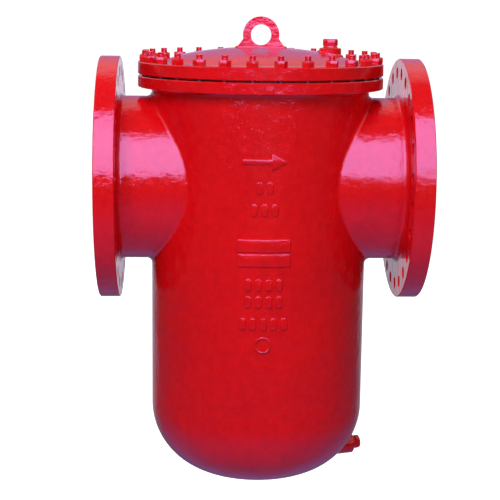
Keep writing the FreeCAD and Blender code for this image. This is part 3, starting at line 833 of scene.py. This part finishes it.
class STRAINER_OT_studs(bpy.types.Operator):
    """Make the studs with a real thread over the length that the nuts travel"""

    bl_idname = "strainer.studs"
    bl_label = "Cover studs"

    steps_per_turn = 16
    turn_step = 53
    foot_chamfer = 0.6 * MM
    tip_chamfer = 1.2 * MM
    tip_length = 2.2 * MM
    thread_below_nut = 7 * MM
    neck_below_nut = 8 * MM

    def execute(self, context):
        pitch = sizes().thread_pitch
        core = STUD_R - 0.34 * pitch
        foot, tip = STUDS_LOW.z, STUDS_HIGH.z
        neck = NUTS_LOW.z - self.neck_below_nut
        rings = [
            (STUD_R - self.foot_chamfer, foot),
            (STUD_R, foot + self.foot_chamfer),
            (STUD_R, neck - 1.0 * MM),
            (core, neck),
            (core, tip - self.tip_length - 0.4 * MM),
            (STUD_R, tip - self.tip_length),
            (STUD_R, tip - 1.0 * MM),
            (STUD_R - self.tip_chamfer, tip),
        ]
        stud = bmesh.new()
        stack_rings(stud, rings, 24)
        self.thread(stud, core, pitch, NUTS_LOW.z - self.thread_below_nut, tip - 3.0 * MM)
        bm = bmesh.new()
        for k, place in stud_places():
            turn = Matrix.Rotation(math.radians(k * self.turn_step % 360), 4, "Z")
            copy_into(bm, stud, Matrix.Translation(place) @ turn)
        stud.free()
        new_piece("stud_ring", bm, stud_finish(), "vessel", ("cover_studs",), crease=50.0)
        return {"FINISHED"}

    def thread(self, bm, core, pitch, start, end):
        """A ridge wound up the stud, closed at both ends."""
        turns = int((end - start) / pitch)
        inner = core - 0.5 * MM
        section = [(inner, -0.40), (STUD_R, -0.16), (STUD_R, 0.16), (inner, 0.40)]
        verts = [bm.verts.new((radius, 0.0, start + share * pitch)) for radius, share in section]
        face = bm.faces.new(verts)
        bmesh.ops.spin(
            bm,
            geom=[face] + list(face.edges) + verts,
            cent=(0, 0, 0),
            axis=(0, 0, 1),
            dvec=(0, 0, pitch / self.steps_per_turn),
            angle=2 * math.pi * turns,
            steps=self.steps_per_turn * turns,
            use_merge=False,
            use_duplicate=False,
        )


class STRAINER_OT_plugs(bpy.types.Operator):
    """Make the hexagon plugs of the vent and the drain"""

    bl_idname = "strainer.plugs"
    bl_label = "Vent and drain plugs"

    seal_gap = 0.05 * MM
    collar_w = 3.2 * MM
    collar_chamfer = 0.8 * MM
    collar_h = 4 * MM
    shank_chamfer = (1.5 * MM, 2 * MM)

    def execute(self, context):
        low = SEAL_T + self.seal_gap
        plug = bmesh.new()
        hex_head(plug, PLUG_FLATS, low + 3 * MM, SEAL_T + PLUG_HEAD)
        collar = PLUG_SHANK_R + self.collar_w
        soft = self.collar_chamfer
        rings = [(collar, low), (collar + soft, low + soft), (collar, low + self.collar_h)]
        stack_rings(plug, rings, ROUND_STEPS)
        inset, lift = self.shank_chamfer
        foot = -PLUG_SHANK
        rings = [(PLUG_SHANK_R - inset, foot), (PLUG_SHANK_R, foot + lift), (PLUG_SHANK_R, low + 1 * MM)]
        stack_rings(plug, rings, ROUND_STEPS)
        vent_x = (PLUG_LOW.x + PLUG_HIGH.x) / 2
        vent = Matrix.Translation((vent_x, 0, PLUG_HIGH.z - SEAL_T - PLUG_HEAD))
        lying = Matrix.Rotation(DRAIN_TURN, 4, "Z") @ Matrix.Translation((DRAIN_REACH, 0, 0))
        drain = Matrix.Translation((AXIS_X, 0, DRAIN_Z)) @ lying @ Matrix.Rotation(math.pi / 2, 4, "Y")
        for name, place, body, node in (
            ("vent_screw_plug", vent, "vent_screw", "vent_plug"),
            ("drain_screw_plug", drain, "drain_screw", "drain_plug"),
        ):
            bm = bmesh.new()
            copy_into(bm, plug, place)
            new_piece(name, bm, bpy.data.materials["small_enamel"], body, (node,))
        plug.free()
        return {"FINISHED"}


class STRAINER_OT_welds(bpy.types.Operator):
    """Lay the weld beads round the lug, the vent boss and the drain boss, and under the basket's rim"""

    bl_idname = "strainer.welds"
    bl_label = "Weld beads"

    sunk = 0.5 * MM

    def execute(self, context):
        random.seed(4)
        self.lug_bead()
        self.vent_bead()
        self.drain_bead()
        self.rim_bead()
        return {"FINISHED"}

    def lug_bead(self):
        """The bead round the lug's foot, on the dome."""
        room = 4 * MM
        width = LUG_HIGH.x - LUG_LOW.x + room
        thickness = LUG_HIGH.y - LUG_LOW.y + room
        outline = rounded_box(width, thickness, 5 * MM, 3)
        ripple = 2.2 * MM
        points = []
        for (x0, y0), (x1, y1) in zip(outline, outline[1:] + outline[:1]):
            steps = max(1, round(math.hypot(x1 - x0, y1 - y0) / ripple))
            for k in range(steps):
                x = x0 + (x1 - x0) * k / steps
                y = y0 + (y1 - y0) * k / steps
                points.append(Vector((AXIS_X + x, y, dome_surface(math.hypot(x, y)) - self.sunk)))
        weld_bead("lug_weld", points, "cover_set")

    def vent_bead(self):
        """The bead round the vent boss, on the dome."""
        middle = (VENT_LOW.x + VENT_HIGH.x) / 2 - AXIS_X
        radius = BOSS_R + 1 * MM
        points = []
        for turn in full_turn(90):
            x = middle + radius * math.cos(turn)
            y = radius * math.sin(turn)
            points.append(Vector((AXIS_X + x, y, dome_surface(math.hypot(x, y)) - self.sunk)))
        weld_bead("vent_weld", points, "cover_set", 1.15)

    def drain_bead(self):
        """The bead round the drain boss, on the dished bottom."""
        out = Vector((math.cos(DRAIN_TURN), math.sin(DRAIN_TURN), 0))
        across = Vector((-out.y, out.x, 0))
        radius = BOSS_R + 0.5 * MM
        points = []
        for turn in full_turn(100):
            side = radius * math.cos(turn)
            z = DRAIN_Z + radius * math.sin(turn)
            reach = math.sqrt(max(0.0, head_radius(z) ** 2 - side * side))
            points.append(AXIS + out * reach + across * side + Vector((0, 0, z)))
        weld_bead("drain_weld", points, "vessel", 1.1)

    def rim_bead(self):
        """The bead under the slanted rim, where the basket's plate is welded to it."""
        radius = BASKET_R + 0.6 * MM
        points = []
        for turn in full_turn(420):
            level = RIM_LOW.z + SEAT_SLOPE * (RIM_R + radius * math.cos(turn)) - 0.6 * MM
            points.append(AXIS + Vector((radius * math.cos(turn), radius * math.sin(turn), level)))
        weld_bead("rim_weld", points, "basket_set", 0.5, "basket_bar")


class STRAINER_OT_wire_cloth(bpy.types.Operator):
    """Make the wire cloth that lines the basket and covers its floor"""

    bl_idname = "strainer.wire_cloth"
    bl_label = "Wire cloth"

    def execute(self, context):
        metal = steel_finish("cloth_wire", 0.72, 0.3, (1.0, 1.0, 1.0))
        self.wall(metal)
        self.floor(metal)
        return {"FINISHED"}

    def wall(self, metal):
        """Upright wires and level hoops, cut off along the slanted rim."""
        wire, pitch = sizes().wire, sizes().cloth_pitch
        low, high = CLOTH_LOW.z, CLOTH_HIGH.z
        radius = (CLOTH_HIGH.y - CLOTH_LOW.y) / 2 - wire / 2
        middle = high - radius * SEAT_SLOPE
        bm = bmesh.new()
        for turn in full_turn(round(2 * math.pi * radius / pitch)):
            x, y = radius * math.cos(turn), radius * math.sin(turn)
            top = middle + x * SEAT_SLOPE
            made = bmesh.ops.create_cone(
                bm, segments=4, radius1=wire / 2, radius2=wire / 2, depth=top - low, cap_ends=True
            )
            bmesh.ops.translate(bm, verts=made["verts"], vec=AXIS + Vector((x, y, (low + top) / 2)))
        hoops = bmesh.new()
        inside = radius - 0.8 * wire
        half = wire / 2
        for level in range(1, int((high - low) / pitch)):
            z = low + level * pitch
            rings = [(inside + half, z), (inside, z + half), (inside - half, z), (inside, z - half)]
            stack_rings(hoops, rings, 64, closed=True)
        cut(hoops, (0, 0, middle), Vector((-SEAT_SLOPE, 0, 1)).normalized(), clear=True)
        bmesh.ops.holes_fill(hoops, edges=[edge for edge in hoops.edges if edge.is_boundary], sides=8)
        copy_into(bm, hoops, Matrix.Translation(AXIS))
        hoops.free()
        new_piece("wall_cloth", bm, metal, "basket_set", ("basket_mesh",), 60.0)

    def floor(self, metal):
        """Two crossing layers of wires on the basket's floor."""
        wire, pitch = sizes().wire, sizes().cloth_pitch
        low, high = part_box("floor_mesh")
        radius = (high.y - low.y) / 2 - 1.0 * MM
        half = 0.45 * wire
        count = int(radius / pitch)
        lie = Matrix.Rotation(math.pi / 2, 4, "Y") @ Matrix.Rotation(math.pi / 4, 4, "Z")
        bm = bmesh.new()
        for layer in (0, 1):
            height = low.z + wire / 4 + layer * half
            turn = Matrix.Translation((AXIS_X, 0, height)) @ Matrix.Rotation(math.pi / 2 * layer, 4, "Z")
            for k in range(-count, count + 1):
                off = k * pitch
                length = 2 * math.sqrt(max(0.0, radius * radius - off * off))
                if length < 4 * wire:
                    continue
                place = turn @ Matrix.Translation((0, off, 0)) @ lie
                bmesh.ops.create_cone(
                    bm, segments=4, radius1=half, radius2=half, depth=length, cap_ends=True, matrix=place
                )
        new_piece("floor_cloth", bm, metal, "basket_set", ("floor_mesh",), 60.0)


class STRAINER_OT_stage(bpy.types.Operator):
    """Set the floor, the soft light and the camera"""

    bl_idname = "strainer.stage"
    bl_label = "Studio"

    target_z = -242.1 * MM
    distance = 3.9178
    azimuth = 0.0491
    pitch = 0.1933
    roll = 0.0131
    lens = 93.3
    shift = (-0.0163, 0.0141)
    floor_r = 6.5
    cove_r = 2.5
    cove_steps = 8
    backdrop_h = 4.0

    def execute(self, context):
        context.scene.view_settings.view_transform = "Standard"
        self.floor()
        self.sky(context.scene)
        self.lamps()
        self.camera(context.scene)
        return {"FINISHED"}

    def floor(self):
        """A round floor that curves up into its own backdrop, seen by the camera only."""
        level = CAD_BOX[0][2] - sizes().floor_drop
        profile = [(0.0, 0.0), (2.0, 0.0), (4.0, 0.0)]
        for k in range(self.cove_steps + 1):
            turn = math.pi / 2 * k / self.cove_steps
            profile.append((self.floor_r + self.cove_r * math.sin(turn), self.cove_r * (1 - math.cos(turn))))
        profile.append((self.floor_r + self.cove_r, self.cove_r + self.backdrop_h))
        bm = bmesh.new()
        verts = [bm.verts.new((AXIS_X + radius, 0, level + height)) for radius, height in profile]
        edges = [bm.edges.new(pair) for pair in zip(verts, verts[1:])]
        bmesh.ops.spin(
            bm, geom=verts + edges, cent=AXIS, axis=(0, 0, 1), angle=2 * math.pi, steps=96, use_merge=True
        )
        bmesh.ops.remove_doubles(bm, verts=bm.verts, dist=1e-5)
        for face in bm.faces:
            face.smooth = True
        mesh = bpy.data.meshes.new("studio_floor")
        bm.to_mesh(mesh)
        bm.free()
        finish = Finish("floor_white")
        finish.set(base_color=colours().ground, roughness=0.9, specular_ior_level=0.0)
        finish.set(emission_color=(1.0, 1.0, 1.0), emission_strength=0.74)
        mesh.materials.append(finish.material)
        plane = bpy.data.objects.new("studio_floor", mesh)
        bpy.context.scene.collection.objects.link(plane)
        plane.visible_glossy = False
        plane.visible_diffuse = False
        plane.visible_shadow = False

    def sky(self, scene):
        """White for the camera, a soft fill for rough surfaces, and a violet room for the paint to mirror."""
        world = bpy.data.worlds.new("studio")
        scene.world = world
        world.use_nodes = True
        tree = world.node_tree
        tree.nodes.clear()
        split = tree.nodes.new("ShaderNodeSeparateXYZ")
        tree.links.new(tree.nodes.new("ShaderNodeTexCoord").outputs["Generated"], split.inputs[0])
        depth = Signal(tree, split.outputs["Y"])
        height = Signal(tree, split.outputs["Z"])
        band = height.above(0.10, 0.08) * height.below(0.90, 0.05)
        bright = self.glow(tree, (0.90, 0.92, 1.0), band * 0.8 + 0.07)
        ground = self.glow(tree, colours().violet, 0.62)
        room = self.mixed(tree, height.below(-0.45, 0.5), bright, ground)
        low_wall = self.glow(tree, (0.86, 0.82, 1.0), height.above(-0.30, 0.5))
        high_wall = self.glow(tree, (0.55, 0.50, 1.0), 0.62)
        wall = self.mixed(tree, height.above(0.06, 0.12), low_wall, high_wall)
        mirrored = self.mixed(tree, depth.above(0.84, 0.24), room, wall)
        fill = self.glow(tree, (1.0, 0.97, 0.97), height.larger(0.0) * 0.26 + 0.20)
        white = self.glow(tree, (1.0, 1.0, 1.0), 1.0)
        path = tree.nodes.new("ShaderNodeLightPath")
        lit = self.mixed(tree, path.outputs["Is Glossy Ray"], fill, mirrored)
        shown = self.mixed(tree, path.outputs["Is Camera Ray"], lit, white)
        output = tree.nodes.new("ShaderNodeOutputWorld")
        tree.links.new(shown, output.inputs["Surface"])

    def glow(self, tree, tint, strength):
        """Light of one tint from the surroundings."""
        node = tree.nodes.new("ShaderNodeBackground")
        feed(tree, node.inputs["Color"], tint)
        feed(tree, node.inputs["Strength"], strength)
        return node.outputs[0]

    def mixed(self, tree, factor, first, second):
        """The first light where the factor is 0 and the second where it is 1."""
        node = tree.nodes.new("ShaderNodeMixShader")
        for slot, value in zip(node.inputs, (factor, first, second)):
            feed(tree, slot, value)
        return node.outputs[0]

    def lamps(self):
        """Soft lamps for everything, a large violet panel for the paint alone and one lamp for bare steel."""
        self.lamp("key", (-1.1, -3.3, 2.7), (1.8, 1.8), 138, (1.0, 0.97, 0.95))
        self.lamp("front", (0.4, -4.4, 0.6), (2.4, 2.4), 56, (1.0, 0.96, 0.96))
        self.lamp("top", (0.2, 0.0, 3.4), (2.6, 2.6), 26, (1.0, 1.0, 1.0))
        self.lamp("back", (0.8, 4.4, 1.6), (3.0, 3.0), 50, (1.0, 1.0, 1.0))
        painted = self.group("painted", lambda name: "enamel" in name or name == "stud_steel")
        bare = self.group("bare", lambda name: name.startswith(("basket", "cloth", "gasket", "seal")))
        panel = self.lamp("panel", (0.0, -3.69, 2.82), (7.0, 4.9), 1020, colours().violet, painted)
        steel = self.lamp("steel", (2.2, -2.6, 2.6), (2.2, 2.2), 60, (1.0, 1.0, 1.0), bare)
        panel.visible_diffuse = False
        for lamp in (panel, steel):
            lamp.visible_glossy = True

    def group(self, name, wanted):
        """A collection of the pieces whose finish has a wanted name."""
        collection = bpy.data.collections.new(name)
        for piece in bpy.data.objects:
            slots = piece.material_slots
            if piece.type == "MESH" and slots and wanted(slots[0].material.name):
                collection.objects.link(piece)
        return collection

    def lamp(self, name, place, size, power, tint, lit=None):
        """A soft lamp that faces the bowl; if a collection is given, it lights nothing else."""
        middle = Vector((AXIS_X, 0, self.target_z))
        data = bpy.data.lights.new(name, "AREA")
        data.shape = "RECTANGLE"
        data.size, data.size_y = size
        data.energy = power
        data.color = tint
        lamp = bpy.data.objects.new(name, data)
        lamp.location = middle + Vector(place)
        lamp.rotation_euler = (middle - lamp.location).to_track_quat("-Z", "Y").to_euler()
        lamp.visible_glossy = False
        lamp.visible_camera = False
        if lit:
            lamp.light_linking.receiver_collection = lit
        bpy.context.scene.collection.objects.link(lamp)
        return lamp

    def camera(self, scene):
        """The camera, turned by its azimuth, pitch and roll towards a point on the bowl's axis."""
        data = bpy.data.cameras.new("camera")
        data.lens = self.lens
        data.shift_x, data.shift_y = self.shift
        data.clip_end = 100
        camera = bpy.data.objects.new("camera", data)
        azimuth, pitch, roll = self.azimuth, self.pitch, self.roll
        level = math.cos(pitch)
        forward = Vector((math.sin(azimuth) * level, math.cos(azimuth) * level, -math.sin(pitch)))
        right = Vector((math.cos(azimuth), -math.sin(azimuth), 0))
        up = right.cross(forward)
        turned_right = right * math.cos(roll) + up * math.sin(roll)
        turned_up = up * math.cos(roll) - right * math.sin(roll)
        spot = Vector((AXIS_X, 0, self.target_z)) - forward * self.distance
        axes = Matrix((turned_right, turned_up, -forward)).transposed()
        camera.matrix_world = Matrix.Translation(spot) @ axes.to_4x4()
        scene.collection.objects.link(camera)
        scene.camera = camera


class STRAINER_PT_panel(bpy.types.Panel):
    """Sizes, colours and the steps that dress the strainer"""

    bl_label = "Basket strainer"
    bl_idname = "STRAINER_PT_panel"
    bl_space_type = "VIEW_3D"
    bl_region_type = "UI"
    bl_category = "Strainer"

    def draw(self, context):
        layout = self.layout
        for group in (context.scene.strainer_sizes, context.scene.strainer_colours):
            box = layout.box()
            for name in group.bl_rna.properties.keys():
                if name not in ("rna_type", "name"):
                    box.prop(group, name)
        for step in STEPS:
            layout.operator(step.bl_idname)


STEPS = (
    STRAINER_OT_castings,
    STRAINER_OT_basket_metal,
    STRAINER_OT_cast_marks,
    STRAINER_OT_nuts,
    STRAINER_OT_studs,
    STRAINER_OT_plugs,
    STRAINER_OT_welds,
    STRAINER_OT_wire_cloth,
    STRAINER_OT_stage,
)
CLASSES = (StrainerSizes, StrainerColours, *STEPS, STRAINER_PT_panel)


def register():
    """Makes the classes and the two groups of properties known to Blender."""
    for cls in CLASSES:
        bpy.utils.register_class(cls)
    bpy.types.Scene.strainer_sizes = bpy.props.PointerProperty(type=StrainerSizes)
    bpy.types.Scene.strainer_colours = bpy.props.PointerProperty(type=StrainerColours)


def unregister():
    """Takes them out again."""
    del bpy.types.Scene.strainer_colours
    del bpy.types.Scene.strainer_sizes
    for cls in reversed(CLASSES):
        bpy.utils.unregister_class(cls)


def main():
    """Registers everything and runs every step."""
    register()
    for step in STEPS:
        category, name = step.bl_idname.split(".")
        getattr(getattr(bpy.ops, category), name)()


if __name__ == "__main__":
    main()
